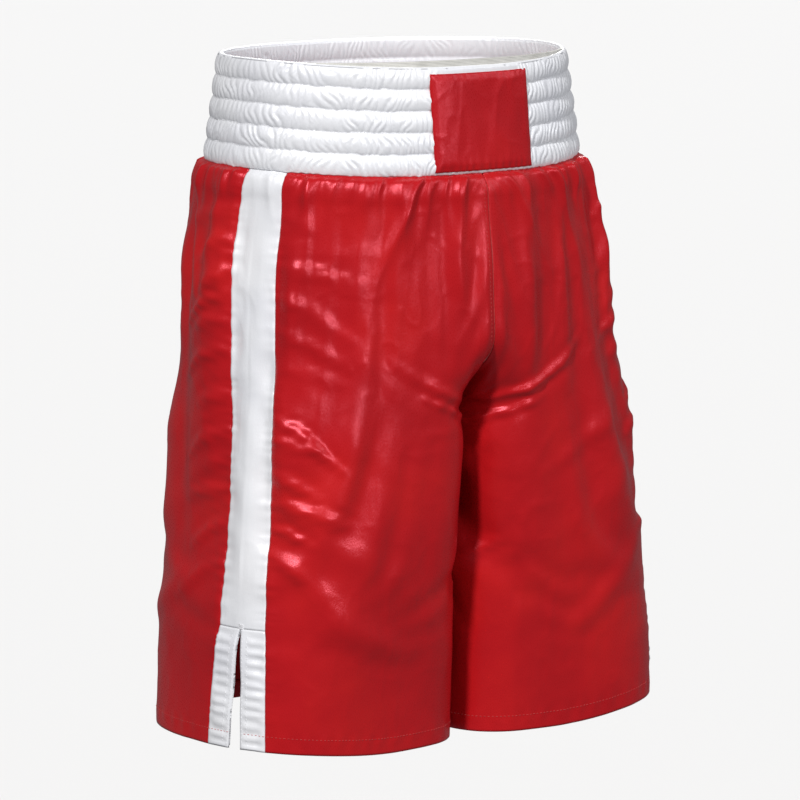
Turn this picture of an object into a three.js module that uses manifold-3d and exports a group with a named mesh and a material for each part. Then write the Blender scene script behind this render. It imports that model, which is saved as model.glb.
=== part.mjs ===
// Boxing shorts, in millimetres, +Z up. The wearer faces -Y, so the wearer's right is at -X.
// The origin is the middle of the waist opening, level with the top of the waistband.
// Every sewn piece is a thin closed shell of its own. The legs turn about the wearer's hip axis,
// so the pieces that run past the hips are cut on a cylinder round that axis, and the two cloth
// tabs beside each side vent turn about the seam that joins them to the leg.
import * as THREE from 'three';
import { mergeVertices } from 'three/addons/utils/BufferGeometryUtils.js';
import Module from 'manifold-3d';

const wasm = await Module();
wasm.setup();

// Lengths, measured down from the top of the waistband
const outseam = 610;
const bandHeight = 95;
const rise = 340;
const ventLength = 110;
const hemDepth = 12;

// Half widths and half depths of the outline seen from above
const waist = { width: 168, depth: 121 };
const bandFoot = { width: 182, depth: 131 };
const yoke = { width: 192, depth: 138 };
const seat = { width: 212, depth: 144 };
const thigh = { width: 108, depth: 131 };
const legHem = { width: 119, depth: 114 };
const yokeDrop = 20;
const seatDrop = 100;
const cleftLength = 125;
const torsoSquareness = 2.2;
const cleftSharpness = 2.2;
const legSquareness = 2.6;

// Cloth, elastic and seams
const cloth = 1.5;
const clearance = 0.5;
const layerGap = 0.35;
const hemGap = 0.9;
const legGap = 4;
const bandRows = 5;
const bandPuff = 2.6;
const stitchGroove = 1.2;
const bandFold = 1.5;
const elasticThickness = 1.6;
const elasticHeight = 15;
const liningThickness = 1;
const seamAllowance = 8;
const overlockHeight = 7;

// Side stripe, vent and patch
const stripeWidth = 50;
const stripePlace = 0.428;
const ventFrontSpread = 3;
const ventBackSpread = 10;
const facingWidth = 8;
const bartack = { width: 9, height: 3, thickness: 0.8 };
const patch = { width: 118, margin: 3, thickness: 1 };
// The front of the waist is flatter than an ellipse, so it reaches further at the same angle
const frontFullness = 1.12;
const facetSpread = 1.8;

// Hip hinge
const hipDrop = 250;
const hipRadius = 150;
const hipClearance = 1;
const arcSteps = 24;

const satinRed = new THREE.MeshStandardMaterial({ color: 0xa81418, roughness: 0.38, metalness: 0 });
const satinWhite = new THREE.MeshStandardMaterial({ color: 0xeceaf0, roughness: 0.4, metalness: 0 });
const elasticWhite = new THREE.MeshStandardMaterial({ color: 0xe4e2dc, roughness: 0.85, metalness: 0 });
const threadRed = new THREE.MeshStandardMaterial({ color: 0x8c1015, roughness: 0.7, metalness: 0 });
const threadWhite = new THREE.MeshStandardMaterial({ color: 0xe8e8ee, roughness: 0.7, metalness: 0 });

const bodyTop = -bandHeight - clearance;
const crotch = -rise;
const cleftTop = crotch + cleftLength;
const hem = -outseam;
const ventTop = hem + ventLength;
const hipHeight = -hipDrop;

const { lerp, smoothstep } = THREE.MathUtils;
const mixSize = (a, b, share) => ({
  width: lerp(a.width, b.width, share),
  depth: lerp(a.depth, b.depth, share),
});

// How far a rounded rectangle reaches from its middle in a direction
function reach(across, along, size, squareness) {
  const sum = Math.abs(across / size.width) ** squareness + Math.abs(along / size.depth) ** squareness;
  return sum ** (-1 / squareness);
}

function torsoSize(z) {
  if (z > -bandHeight) return mixSize(waist, bandFoot, -z / bandHeight);
  const drop = -bandHeight - z;
  if (drop < yokeDrop) return mixSize(bandFoot, yoke, Math.sin((drop / yokeDrop) * Math.PI / 2));
  return mixSize(yoke, seat, smoothstep(drop, yokeDrop, seatDrop));
}

// Places on the right half of the cloth: t runs 0 to 1 from the front seam round the side to the
// back seam, and below the crotch from the inseam right round the leg and back to the inseam.
function torsoPoint(t, z) {
  const angle = Math.PI * t;
  const [across, along] = [-Math.sin(angle), -Math.cos(angle)];
  const r = reach(across, along, torsoSize(z), torsoSquareness);
  return new THREE.Vector3(across * r, along * r, z);
}

function legPoint(t, z) {
  const size = mixSize(thigh, legHem, THREE.MathUtils.clamp((crotch - z) / (crotch - hem), 0, 1));
  const angle = 2 * Math.PI * t;
  const [across, along] = [Math.cos(angle), -Math.sin(angle)];
  const r = reach(across, along, size, legSquareness);
  return new THREE.Vector3(across * r - size.width - legGap / 2, along * r, z);
}

function outerPoint(t, z) {
  const legShare = THREE.MathUtils.clamp((cleftTop - z) / cleftLength, 0, 1) ** cleftSharpness;
  return torsoPoint(t, z).lerp(legPoint(t, z), legShare);
}

// The same place, a depth into the cloth, on the wearer's right (side -1) or left (side 1)
function clothPoint(side, t, z, depth) {
  const round = outerPoint(t + 0.001, z).sub(outerPoint(t - 0.001, z));
  const up = outerPoint(t, z + 1).sub(outerPoint(t, z - 1));
  const inward = round.cross(up).normalize();
  const point = outerPoint(t, z).addScaledVector(inward, depth);
  point.x = Math.min(point.x, -clearance / 2);
  return new THREE.Vector3(-side * point.x, point.y, point.z);
}

// The share of t that a distance along the cloth takes at a place
function shareOf(distance, t, z) {
  return (distance * 0.002) / outerPoint(t + 0.001, z).distanceTo(outerPoint(t - 0.001, z));
}

const beside = (t, distance) => (z) => t + shareOf(distance, t, z);

// How far the vent has opened at a height: 0 at its top, 1 at the hem
const ventShare = (z) => Math.max(0, (ventTop - z) / ventLength);

const stripeFront = (inset) => (z) =>
  beside(stripePlace, -stripeWidth / 2 - ventFrontSpread * ventShare(z) + inset)(z);
const stripeBack = (inset) => (z) =>
  beside(stripePlace, stripeWidth / 2 + ventBackSpread * ventShare(z) + inset)(z);
const ventFront = (inset) => (z) => beside(stripePlace, -ventFrontSpread * ventShare(z) + inset)(z);
const ventBack = (inset) => (z) => beside(stripePlace, ventBackSpread * ventShare(z) + inset)(z);

function stations(from, to, steps) {
  return Array.from({ length: steps + 1 }, (_, i) => lerp(from, to, i / steps));
}

const rowsToVent = [
  ...stations(bodyTop, bodyTop - yokeDrop, 2),
  ...stations(bodyTop - yokeDrop, cleftTop, 3).slice(1),
  ...stations(cleftTop, crotch, 4).slice(1),
  ...stations(crotch, ventTop, 4).slice(1),
];
const ventRows = stations(ventTop, hem, 3);

// A closed solid from two skins, each a list of rows of points
function closedSheet(outer, inner) {
  const rows = outer.length;
  const columns = outer[0].length;
  const at = (skin, r, c) => (skin * rows + r) * columns + c;
  const index = [];
  const quad = (a, b, c, d) => index.push(a, b, c, a, c, d);
  for (let r = 0; r < rows - 1; r++) {
    for (let c = 0; c < columns - 1; c++) {
      quad(at(0, r, c), at(0, r, c + 1), at(0, r + 1, c + 1), at(0, r + 1, c));
      quad(at(1, r, c), at(1, r + 1, c), at(1, r + 1, c + 1), at(1, r, c + 1));
    }
    quad(at(0, r, 0), at(0, r + 1, 0), at(1, r + 1, 0), at(1, r, 0));
    quad(at(0, r, columns - 1), at(1, r, columns - 1), at(1, r + 1, columns - 1), at(0, r + 1, columns - 1));
  }
  for (let c = 0; c < columns - 1; c++) {
    quad(at(0, 0, c), at(1, 0, c), at(1, 0, c + 1), at(0, 0, c + 1));
    quad(at(0, rows - 1, c), at(0, rows - 1, c + 1), at(1, rows - 1, c + 1), at(1, rows - 1, c));
  }
  return facingOut([...outer.flat(), ...inner.flat()], index);
}

// A geometry whose faces point out, whichever way its triangles were listed
function facingOut(points, index) {
  const geometry = new THREE.BufferGeometry();
  geometry.setAttribute('position', new THREE.Float32BufferAttribute(points.flatMap((p) => p.toArray()), 3));
  let volume = 0;
  for (let i = 0; i < index.length; i += 3) {
    const [a, b, c] = [points[index[i]], points[index[i + 1]], points[index[i + 2]]];
    volume += a.dot(new THREE.Vector3().crossVectors(b, c));
  }
  geometry.setIndex(volume > 0 ? index : index.reverse());
  return geometry;
}

// A piece of cloth between two lines of t, over a list of heights
function clothPiece(side, from, to, heights, columns, depth = 0, thickness = cloth) {
  const skin = (d) => heights.map((z) =>
    stations(from(z), to(z), columns).map((t) => clothPoint(side, t, z, d)));
  return closedSheet(skin(depth), skin(depth + thickness));
}

// Angles round the waistband. The middle of the front is one flat facet for the patch.
const frontFacet = THREE.MathUtils.degToRad(10);
const ringAngles = stations(frontFacet, 2 * Math.PI - frontFacet, 40);

function bandPoint(angle, z, depth) {
  const at = (a) => {
    const [across, along] = [-Math.sin(a), -Math.cos(a)];
    const r = reach(across, along, torsoSize(z), torsoSquareness);
    return new THREE.Vector3(across * r, along * r, z);
  };
  const round = at(angle + 0.01).sub(at(angle - 0.01)).normalize();
  return at(angle).add(new THREE.Vector3(round.y, -round.x, 0).multiplyScalar(depth));
}

// A closed ring round the waist from a closed profile of [depth, height] corners
function ring(profile) {
  const points = ringAngles.flatMap((angle) => profile.map(([depth, z]) => bandPoint(angle, z, depth)));
  const [count, corners] = [ringAngles.length, profile.length];
  const at = (i, k) => (i % count) * corners + (k % corners);
  const index = [];
  for (let i = 0; i < count; i++) {
    for (let k = 0; k < corners; k++) {
      index.push(at(i, k), at(i + 1, k), at(i + 1, k + 1), at(i, k), at(i + 1, k + 1), at(i, k + 1));
    }
  }
  return facingOut(points, index);
}

const elasticDepth = bandPuff + layerGap;
const liningDepth = elasticDepth + elasticThickness + layerGap;
const bandDepth = liningDepth + liningThickness;
const rowPitch = bandHeight / bandRows;

// The outer satin puffs out over each elastic, is drawn in at each row of stitches, and folds over
// the top edge down to the lining
function bandOuterProfile() {
  const outside = [];
  for (let row = 0; row < bandRows; row++) {
    const top = -row * rowPitch;
    outside.push([row === 0 ? 0 : stitchGroove, top], [0, top - rowPitch * 0.25], [0, top - rowPitch * 0.75]);
  }
  return [...outside, [stitchGroove, -bandHeight], [bandPuff, -bandHeight], [bandPuff, -bandFold],
    [bandDepth, -bandFold], [bandDepth, 0]];
}

function rectangle(depth, thickness, top, bottom) {
  return [[depth, top], [depth, bottom], [depth + thickness, bottom], [depth + thickness, top]];
}

function patchGeometry() {
  const top = -patch.margin;
  const bottom = -bandHeight + patch.margin;
  const halfTurn = Math.asin(patch.width / 2 / waist.depth / frontFullness);
  const wide = facetSpread * frontFacet;
  const angles = [-halfTurn, -wide, -frontFacet, frontFacet, wide, halfTurn];
  const skin = (depth) => [top, bottom].map((z) => angles.map((angle) => bandPoint(angle, z, depth)));
  return closedSheet(skin(-clearance - patch.thickness), skin(-clearance));
}

// Solids for cutting: the hip side and the leg side of the hip cylinder
function toSolid(geometry) {
  const position = geometry.getAttribute('position');
  const merged = new wasm.Mesh({
    numProp: 3,
    vertProperties: new Float32Array(position.array),
    triVerts: new Uint32Array(geometry.index ? geometry.index.array : position.count),
  });
  return new wasm.Manifold(merged);
}

function toGeometry(solid) {
  const mesh = solid.getMesh();
  const geometry = new THREE.BufferGeometry();
  geometry.setAttribute('position', new THREE.BufferAttribute(mesh.vertProperties, 3));
  geometry.setIndex(new THREE.BufferAttribute(mesh.triVerts, 1));
  return geometry;
}

const farOut = 2 * outseam;

// A built-in geometry with its shared corners joined, so that it is one closed body
function joined(geometry) {
  geometry.deleteAttribute('normal');
  geometry.deleteAttribute('uv');
  return mergeVertices(geometry);
}

// The region inside a radius of the hip axis with all that lies above it, or the rest below
function hipZone(radius, end) {
  const arc = stations(Math.PI, 2 * Math.PI, arcSteps)
    .map((a) => new THREE.Vector2(radius * Math.cos(a), hipHeight + radius * Math.sin(a)));
  const corners = [[farOut, hipHeight], [farOut, end], [-farOut, end], [-farOut, hipHeight]];
  const shape = new THREE.Shape([...arc, ...corners.map(([y, z]) => new THREE.Vector2(y, z))]);
  const geometry = new THREE.ExtrudeGeometry(shape, { depth: 2 * farOut, bevelEnabled: false });
  const [x, y, z] = [new THREE.Vector3(1, 0, 0), new THREE.Vector3(0, 1, 0), new THREE.Vector3(0, 0, 1)];
  geometry.translate(0, 0, -farOut).applyMatrix4(new THREE.Matrix4().makeBasis(y, z, x));
  return joined(geometry);
}

const hipSide = toSolid(hipZone(hipRadius, farOut));
const legSide = toSolid(hipZone(hipRadius + hipClearance, -farOut));

const shorts = new THREE.Group();
const waistband = new THREE.Group();
shorts.add(waistband);

function addPiece(group, name, geometry, material) {
  const mesh = new THREE.Mesh(geometry, material);
  mesh.name = name;
  group.add(mesh);
  return mesh;
}

// A piece that crosses the hip axis, as a hip part and a leg part
function addSplit(groups, name, geometry, material) {
  const whole = toSolid(geometry);
  addPiece(groups.hip, `${name}_hip`, toGeometry(whole.intersect(hipSide)), material);
  addPiece(groups.leg, `${name}_leg`, toGeometry(whole.intersect(legSide)), material);
}

function addWaistband() {
  addPiece(waistband, 'waistband_outer', ring(bandOuterProfile()), satinWhite);
  addPiece(waistband, 'waistband_lining',
    ring(rectangle(liningDepth, liningThickness, -bandFold - layerGap, -bandHeight)), satinWhite);
  for (let row = 0; row < bandRows; row++) {
    const top = -row * rowPitch - (rowPitch - elasticHeight) / 2;
    addPiece(waistband, `waist_elastic_${row + 1}`,
      ring(rectangle(elasticDepth, elasticThickness, top, top - elasticHeight)), elasticWhite);
  }
  addPiece(waistband, 'centre_front_patch', patchGeometry(), satinRed);
  const overlockTop = bodyTop - clearance;
  addPiece(waistband, 'waist_seam_overlock',
    ring(rectangle(bandDepth, cloth, overlockTop, overlockTop - overlockHeight)), threadWhite);
}

// The front and back seams between the two halves, turned in as a standing fin
function riseSeam(t) {
  const heights = rowsToVent.filter((z) => z < bodyTop - yokeDrop - 1 && z > crotch + 1);
  const line = (depth) => heights.map((z) => {
    const p = clothPoint(-1, t, z, depth);
    return new THREE.Vector3(0, p.y, p.z);
  });
  const [outerLine, innerLine] = [line(cloth + 2 * clearance), line(cloth + 2 * clearance + seamAllowance)];
  const skin = (x) => heights.map((_, i) =>
    [outerLine[i], innerLine[i]].map((p) => new THREE.Vector3(x, p.y, p.z)));
  return closedSheet(skin(-cloth / 2), skin(cloth / 2));
}

function inseam(side) {
  const top = crotch - clearance;
  const bottom = hem + hemDepth + clearance;
  const fin = new THREE.BoxGeometry(seamAllowance, cloth, top - bottom);
  fin.translate(side * (legGap / 2 + cloth + clearance + seamAllowance / 2), 0, (top + bottom) / 2);
  return joined(fin);
}

function addHalf(side, word) {
  const groups = { hip: new THREE.Group(), leg: new THREE.Group() };
  shorts.add(groups.hip, groups.leg);
  const edge = clearance / 2;
  const inner = { front: beside(0, edge), back: beside(1, -edge) };
  const rows = [...rowsToVent, ...ventRows.slice(1)];
  addSplit(groups, `${word}_front_panel`,
    clothPiece(side, inner.front, stripeFront(-edge), rows, 9), satinRed);
  addSplit(groups, `${word}_back_panel`,
    clothPiece(side, stripeBack(edge), inner.back, rows, 12), satinRed);
  const stripeRows = [...rowsToVent.slice(0, -1), ventTop + clearance];
  addSplit(groups, `${word}_side_stripe`,
    clothPiece(side, stripeFront(edge), stripeBack(-edge), stripeRows, 2), satinWhite);
  addSplit(groups, `${word}_inseam`, inseam(side), threadRed);
  addHems(side, word, groups.leg, inner);
  addVent(side, word, groups.leg);
}

function addHems(side, word, leg, inner) {
  const heights = [hem + hemDepth, hem];
  const depth = cloth + hemGap;
  const inset = 2 * clearance;
  addPiece(leg, `${word}_front_hem`,
    clothPiece(side, (z) => inner.front(z) + shareOf(inset, 0, z), stripeFront(-inset), heights, 9,
      depth, liningThickness), satinRed);
  addPiece(leg, `${word}_back_hem`,
    clothPiece(side, stripeBack(inset), (z) => inner.back(z) - shareOf(inset, 0, z), heights, 12,
      depth, liningThickness), satinRed);
}

function addVent(side, word, leg) {
  const edge = clearance / 2;
  const depth = cloth + hemGap;
  addPiece(leg, `${word}_vent_front_tab`,
    clothPiece(side, stripeFront(edge), ventFront(-edge), ventRows, 3), satinWhite);
  addPiece(leg, `${word}_vent_back_tab`,
    clothPiece(side, ventBack(edge), stripeBack(-edge), ventRows, 3), satinWhite);
  addPiece(leg, `${word}_vent_front_facing`,
    clothPiece(side, ventFront(-edge - facingWidth), ventFront(-edge), ventRows, 1,
      depth, liningThickness), satinWhite);
  addPiece(leg, `${word}_vent_back_facing`,
    clothPiece(side, ventBack(edge), ventBack(edge + facingWidth), ventRows, 1,
      depth, liningThickness), satinWhite);
  const tackFoot = ventTop + 2 * clearance;
  addPiece(leg, `${word}_vent_bartack`,
    clothPiece(side, beside(stripePlace, -bartack.width / 2), beside(stripePlace, bartack.width / 2),
      [tackFoot + bartack.height, tackFoot], 1, -clearance - bartack.thickness, bartack.thickness),
    threadWhite);
}

addWaistband();
addPiece(shorts, 'front_rise_seam', riseSeam(0), threadRed);
addPiece(shorts, 'back_rise_seam', riseSeam(1), threadRed);
addHalf(-1, 'right');
addHalf(1, 'left');

export default shorts;
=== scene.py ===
import math

import bpy
import numpy as np
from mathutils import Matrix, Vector


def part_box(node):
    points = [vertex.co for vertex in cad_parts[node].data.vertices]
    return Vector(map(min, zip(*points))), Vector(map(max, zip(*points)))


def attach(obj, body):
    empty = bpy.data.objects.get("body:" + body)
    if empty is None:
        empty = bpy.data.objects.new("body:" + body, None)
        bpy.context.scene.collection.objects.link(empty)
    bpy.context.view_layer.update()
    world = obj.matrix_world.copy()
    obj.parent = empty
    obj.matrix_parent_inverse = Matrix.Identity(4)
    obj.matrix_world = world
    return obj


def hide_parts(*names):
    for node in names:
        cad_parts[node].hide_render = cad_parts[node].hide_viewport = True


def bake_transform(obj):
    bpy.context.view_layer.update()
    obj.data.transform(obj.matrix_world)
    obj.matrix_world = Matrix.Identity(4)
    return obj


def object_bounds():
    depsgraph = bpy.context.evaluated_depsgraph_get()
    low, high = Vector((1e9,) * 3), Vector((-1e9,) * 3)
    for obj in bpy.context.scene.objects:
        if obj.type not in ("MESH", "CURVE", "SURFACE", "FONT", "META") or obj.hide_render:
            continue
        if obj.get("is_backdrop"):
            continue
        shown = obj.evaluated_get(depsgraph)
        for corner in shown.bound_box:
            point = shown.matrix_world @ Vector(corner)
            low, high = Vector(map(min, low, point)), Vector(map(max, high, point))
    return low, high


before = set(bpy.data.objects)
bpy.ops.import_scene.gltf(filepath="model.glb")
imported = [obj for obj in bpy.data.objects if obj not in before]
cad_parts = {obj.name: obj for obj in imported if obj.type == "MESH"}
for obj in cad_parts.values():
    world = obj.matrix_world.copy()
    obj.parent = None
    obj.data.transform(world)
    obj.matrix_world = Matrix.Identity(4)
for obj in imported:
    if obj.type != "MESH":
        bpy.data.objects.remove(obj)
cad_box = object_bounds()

MM = 0.001
SIDES = {"right": -1, "left": 1}

# Heights, from the frame
BAND_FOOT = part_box("waistband_outer")[0].z
BAND_HEIGHT = -BAND_FOOT
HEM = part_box("right_front_hem")[0].z
HEM_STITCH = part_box("right_front_hem")[1].z
VENT_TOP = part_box("right_vent_front_tab")[1].z
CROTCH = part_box("right_inseam_hip")[1].z
CLEFT_TOP = CROTCH + 125 * MM
BODY_TOP = BAND_FOOT + 3 * MM
VENT_LENGTH = VENT_TOP - HEM

# Half widths and half depths of the outline seen from above
WAIST = np.array([168, 121]) * MM
FOOT = np.array([182, 131]) * MM
YOKE = np.array([192, 138]) * MM
SEAT = np.array([212, 144]) * MM
THIGH = np.array([108, 131]) * MM
LEG_HEM = np.array([119, 114]) * MM
YOKE_DROP = 20 * MM
SEAT_DROP = 100 * MM
TORSO_SQUARENESS = 2.2
LEG_SQUARENESS = 2.6
LEG_GAP = 4 * MM
CORNER_SQUARENESS = 1.6
CLEFT_FLATNESS = 2.3

# How the cloth hangs, which carries it off the frame's surface by up to 27 mm
LEAN = 13 * MM
LEAN_RUN = 0.205
FRONT_DIP = 8 * MM
DIP_RUN = 0.4
SIDE_LIFT = 13 * MM
STRIPE_TWIST = 12 * MM
LOW_TOP = -0.25
LOW_RUN = 0.36
HIP_BULGE = 4 * MM
HIP_HEIGHT = -0.24
HIP_RUN = 0.08

STRIPE_PLACE = 0.428
STRIPE_HALF = 25 * MM
STRIPE_FORWARD = 5 * MM
FORWARD_RUN = 60 * MM
STRIPE_TAPER = 0.2
TAPER_RUN = 45 * MM
VENT_FRONT_SPREAD = 3 * MM
VENT_BACK_SPREAD = 10 * MM
VENT_CURVE = 0.6
FACING = 8 * MM
CLOTH = 0.5 * MM
SEAM_TUCK = 1.2 * MM
EDGE_TUCK = 0.3 * MM
HALF_GIRTH = 0.56
BODY_DROP = 0.5

# In millimetres from the inseam, and the seeds of each half's folds
INSEAM_CREASE = 44
FOLD_SEEDS = {"right": 210, "left": 260}
BROAD_SEEDS = {"right": 10, "left": 60}
FINE_SEEDS = {"right": 30, "left": 80}

# The coarse grid of one half of the cloth, and how much finer its final mesh is
ROWS_TO_VENT = 65
VENT_ROWS = 18
FRONT_STEPS = 52
STRIPE_STEPS = 5
BACK_STEPS = 58
FINE = 3


def smooth(x):
    x = np.clip(x, 0, 1)
    return x * x * (3 - 2 * x)


def lattice_noise(u, v, seed):
    """Smooth noise between -1 and 1 over a plane."""
    u, v = np.broadcast_arrays(np.asarray(u, float), np.asarray(v, float))
    table = np.random.default_rng(seed).uniform(-1, 1, (256, 256))
    i, j = np.floor(u).astype(int), np.floor(v).astype(int)
    a, b = smooth(u - i), smooth(v - j)
    corner = lambda di, dj: table[(i + di) % 256, (j + dj) % 256]
    near = corner(0, 0) * (1 - a) + corner(1, 0) * a
    far = corner(0, 1) * (1 - a) + corner(1, 1) * a
    return near * (1 - b) + far * b


def reach(across, along, half, squareness):
    """How far a rounded rectangle reaches from its middle in a direction."""
    total = np.abs(across / half[..., 0]) ** squareness + np.abs(along / half[..., 1]) ** squareness
    return total ** (-1 / squareness)


def mix(a, b, share):
    return a + (b - a) * np.asarray(share)[..., None]


def torso_half(z):
    drop = BAND_FOOT - z
    band = mix(WAIST, FOOT, np.clip(z / BAND_FOOT, 0, 1))
    yoke = mix(FOOT, YOKE, np.sin(np.clip(drop / YOKE_DROP, 0, 1) * math.pi / 2))
    seat = mix(YOKE, SEAT, smooth((drop - YOKE_DROP) / (SEAT_DROP - YOKE_DROP)))
    low = np.where((drop < YOKE_DROP)[..., None], yoke, seat)
    return np.where((z > BAND_FOOT)[..., None], band, low)


def torso_point(angle, z):
    across, along = -np.sin(angle), -np.cos(angle)
    r = reach(across, along, torso_half(z), TORSO_SQUARENESS)
    return np.stack([across * r, along * r, z], -1)


def leg_point(t, z):
    drop = np.clip((CROTCH - z) / (CROTCH - HEM), 0, 1)
    half = mix(THIGH, LEG_HEM, 0.5 * (drop + smooth(drop)))
    across, along = np.cos(2 * math.pi * t), -np.sin(2 * math.pi * t)
    corner = smooth(t / 0.06) * smooth((0.25 - t) / 0.1)
    r = reach(across, along, half, LEG_SQUARENESS + CORNER_SQUARENESS * corner)
    return np.stack([across * r - half[..., 0] - LEG_GAP / 2, along * r, z], -1)


def outline(t, z):
    """The outline before it hangs, on the wearer's right, squarer at the legs than the frame's. t runs
    0 to 1 from the front seam to the back seam, and below the crotch from the inseam round the leg."""
    t, z = np.broadcast_arrays(np.asarray(t, float), np.asarray(z, float))
    leg_share = smooth((CLEFT_TOP - z) / (CLEFT_TOP - CROTCH)) ** CLEFT_FLATNESS
    return mix(torso_point(math.pi * t, z), leg_point(t, z), leg_share)


def dip_front(p, z):
    """Lowers the front of the waist."""
    front = np.clip(-p[..., 1] / WAIST[1], 0, 1) ** 2
    p[..., 2] -= FRONT_DIP * front * (1 - smooth(-z / DIP_RUN))


def hang(p, t):
    """Lets the cloth hang: the legs forward of the waist, the hem higher at the sides."""
    p = p.copy()
    z = p[..., 2].copy()
    low = smooth((LOW_TOP - z) / LOW_RUN)
    p[..., 1] -= LEAN * smooth((BAND_FOOT - z) / LEAN_RUN)
    dip_front(p, z)
    p[..., 2] += SIDE_LIFT * low * smooth((t - 0.2) / 0.22)
    p[..., 1] -= STRIPE_TWIST * low * np.exp(-((t - STRIPE_PLACE) / 0.15) ** 2)
    hip = np.exp(-((z - HIP_HEIGHT) / HIP_RUN) ** 2)
    p[..., 0] -= HIP_BULGE * hip * np.sin(math.pi * np.clip(t, 0, 1))
    return p


def beside(t, z, distance):
    """The t that lies a distance round the cloth from another t."""
    step = 0.001
    speed = np.linalg.norm(outline(t + step, z) - outline(t - step, z), axis=-1) / (2 * step)
    return t + distance / speed


def vent_share(z):
    return np.maximum(0, (VENT_TOP - z) / VENT_LENGTH) ** VENT_CURVE


def grid_heights(times):
    """Row heights from under the waistband to the hem, with one row at the top of the vent."""
    above = np.linspace(BODY_TOP, VENT_TOP, ROWS_TO_VENT * times + 1)
    below = np.linspace(VENT_TOP, HEM, VENT_ROWS * times + 1)[1:]
    return np.concatenate([above, below])


def grid_shares(heights, times):
    """t for each row and column, with two columns at the middle of the stripe, one for each tab."""
    z = heights[:, None]
    share = vent_share(z)
    drop = np.maximum(BAND_FOOT - z, 0)
    place = beside(np.full_like(z, STRIPE_PLACE), z, -STRIPE_FORWARD * np.exp(-drop / FORWARD_RUN))
    drawn_in = STRIPE_HALF * (1 - STRIPE_TAPER * np.exp(-drop / TAPER_RUN))
    lines = {
        "front": beside(place, z, -drawn_in - VENT_FRONT_SPREAD * share),
        "vent_front": beside(place, z, -VENT_FRONT_SPREAD * share),
        "vent_back": beside(place, z, VENT_BACK_SPREAD * share),
        "back": beside(place, z, drawn_in + VENT_BACK_SPREAD * share),
    }
    run = lambda a, b, steps: a + (b - a) * np.linspace(0, 1, steps + 1)[None, :]
    return np.concatenate([
        run(0 * z, lines["front"], FRONT_STEPS * times)[:, :-1],
        run(lines["front"], lines["vent_front"], STRIPE_STEPS * times),
        run(lines["vent_back"], lines["back"], STRIPE_STEPS * times)[:, :-1],
        run(lines["back"], 0 * z + 1, BACK_STEPS * times),
    ], axis=1)


def grid_normals(p):
    """Unit normals of a grid of points, facing away from the cloth's inside."""
    across = np.gradient(p, axis=1)
    down = np.gradient(p, axis=0)
    n = np.cross(across, down)
    return n / np.maximum(np.linalg.norm(n, axis=-1, keepdims=True), 1e-12)


def arc_lengths(p):
    """Distance round the cloth from the first column, for each row."""
    step = np.linalg.norm(np.diff(p, axis=1), axis=-1)
    return np.concatenate([np.zeros((len(p), 1)), np.cumsum(step, axis=1)], axis=1)


def fold(arc, z, path, width, height, step=0.0):
    """Height of one fold along a path of (arc, z) points: a ridge, or with step a one-sided crease."""
    path = np.array(path, float) * MM
    best = np.full(arc.shape, 1e9)
    along = np.zeros(arc.shape)
    side = np.ones(arc.shape)
    legs = np.linalg.norm(np.diff(path, axis=0), axis=1)
    done = 0.0
    for (a, b), leg in zip(zip(path[:-1], path[1:]), legs):
        d = (b - a) / leg
        u = np.clip((arc - a[0]) * d[0] + (z - a[1]) * d[1], 0, leg)
        dx, dz = arc - a[0] - u * d[0], z - a[1] - u * d[1]
        distance = np.hypot(dx, dz)
        near = distance < best
        best = np.where(near, distance, best)
        along = np.where(near, (done + u) / legs.sum(), along)
        side = np.where(near, np.sign(dx * d[1] - dz * d[0]), side)
        done += leg
    taper = np.sin(math.pi * np.clip(along * 0.92 + 0.04, 0, 1)) ** 0.7
    wide = width * MM * (0.55 + 0.45 * taper)
    x = best / wide
    ridge = np.exp(-x * x)
    crease = side * x * np.exp(-x * x * 0.9) * 1.6
    return height * MM * taper * (ridge * (1 - abs(step)) + crease * step)


def gathers(arc, z, seed, full):
    """Pleats that start at the waistband seam, widen as they fall, and fade out: fine ones and deep ones."""
    rng = np.random.default_rng(seed)
    drop = np.maximum(BAND_FOOT - z, 0)
    out = np.zeros(arc.shape)
    place = 0.004
    while place < full:
        deep = rng.random() < 0.3
        width = rng.uniform(4.0, 7.5) * MM if deep else rng.uniform(2.2, 4.2) * MM
        length = rng.uniform(45, 120) * MM if deep else rng.uniform(10, 34) * MM
        lean = rng.uniform(-0.3, 0.3)
        height = rng.uniform(3.4, 5.6) * MM if deep else rng.uniform(1.8, 3.4) * MM
        spread = width * (1 + 1.1 * drop / (length + 12 * MM))
        x = np.abs(arc - place - lean * drop) / spread
        out += height * np.exp(-x ** 1.5) * np.exp(-(drop / length) ** 1.6)
        place += width * rng.uniform(1.7, 3.1)
    return out * (0.45 + 0.55 * smooth(drop / (6 * MM)))


def crumple(arc, z, seed, size, height):
    """Soft irregular dents of about one size, with some sharper ridges between them."""
    u, v = arc / (size * MM), z / (size * 1.5 * MM)
    bend_u = u + 0.6 * lattice_noise(u * 0.6 + 7, v * 0.6, seed + 1)
    bend_v = v + 0.6 * lattice_noise(u * 0.6, v * 0.6 + 5, seed + 2)
    soft = lattice_noise(bend_u, bend_v, seed)
    ridge = 1 - np.abs(lattice_noise(bend_u * 1.1 + 31, bend_v * 1.1 + 17, seed + 3)) * 2
    return height * MM * (0.7 * soft + 0.5 * np.clip(ridge, 0, 1) ** 2)


def beyond_stripe(arc):
    """0 on the stripe, 1 beyond it."""
    return smooth((np.abs(arc) - 22 * MM) / (8 * MM))


def fallen(z):
    """0 at the waistband, 1 near the hem."""
    return np.clip((BAND_FOOT - z) / BODY_DROP, 0, 1)


def from_seams(shares):
    """About how far each point lies from the front or back seam."""
    return np.minimum(shares, 1 - shares) * HALF_GIRTH


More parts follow.
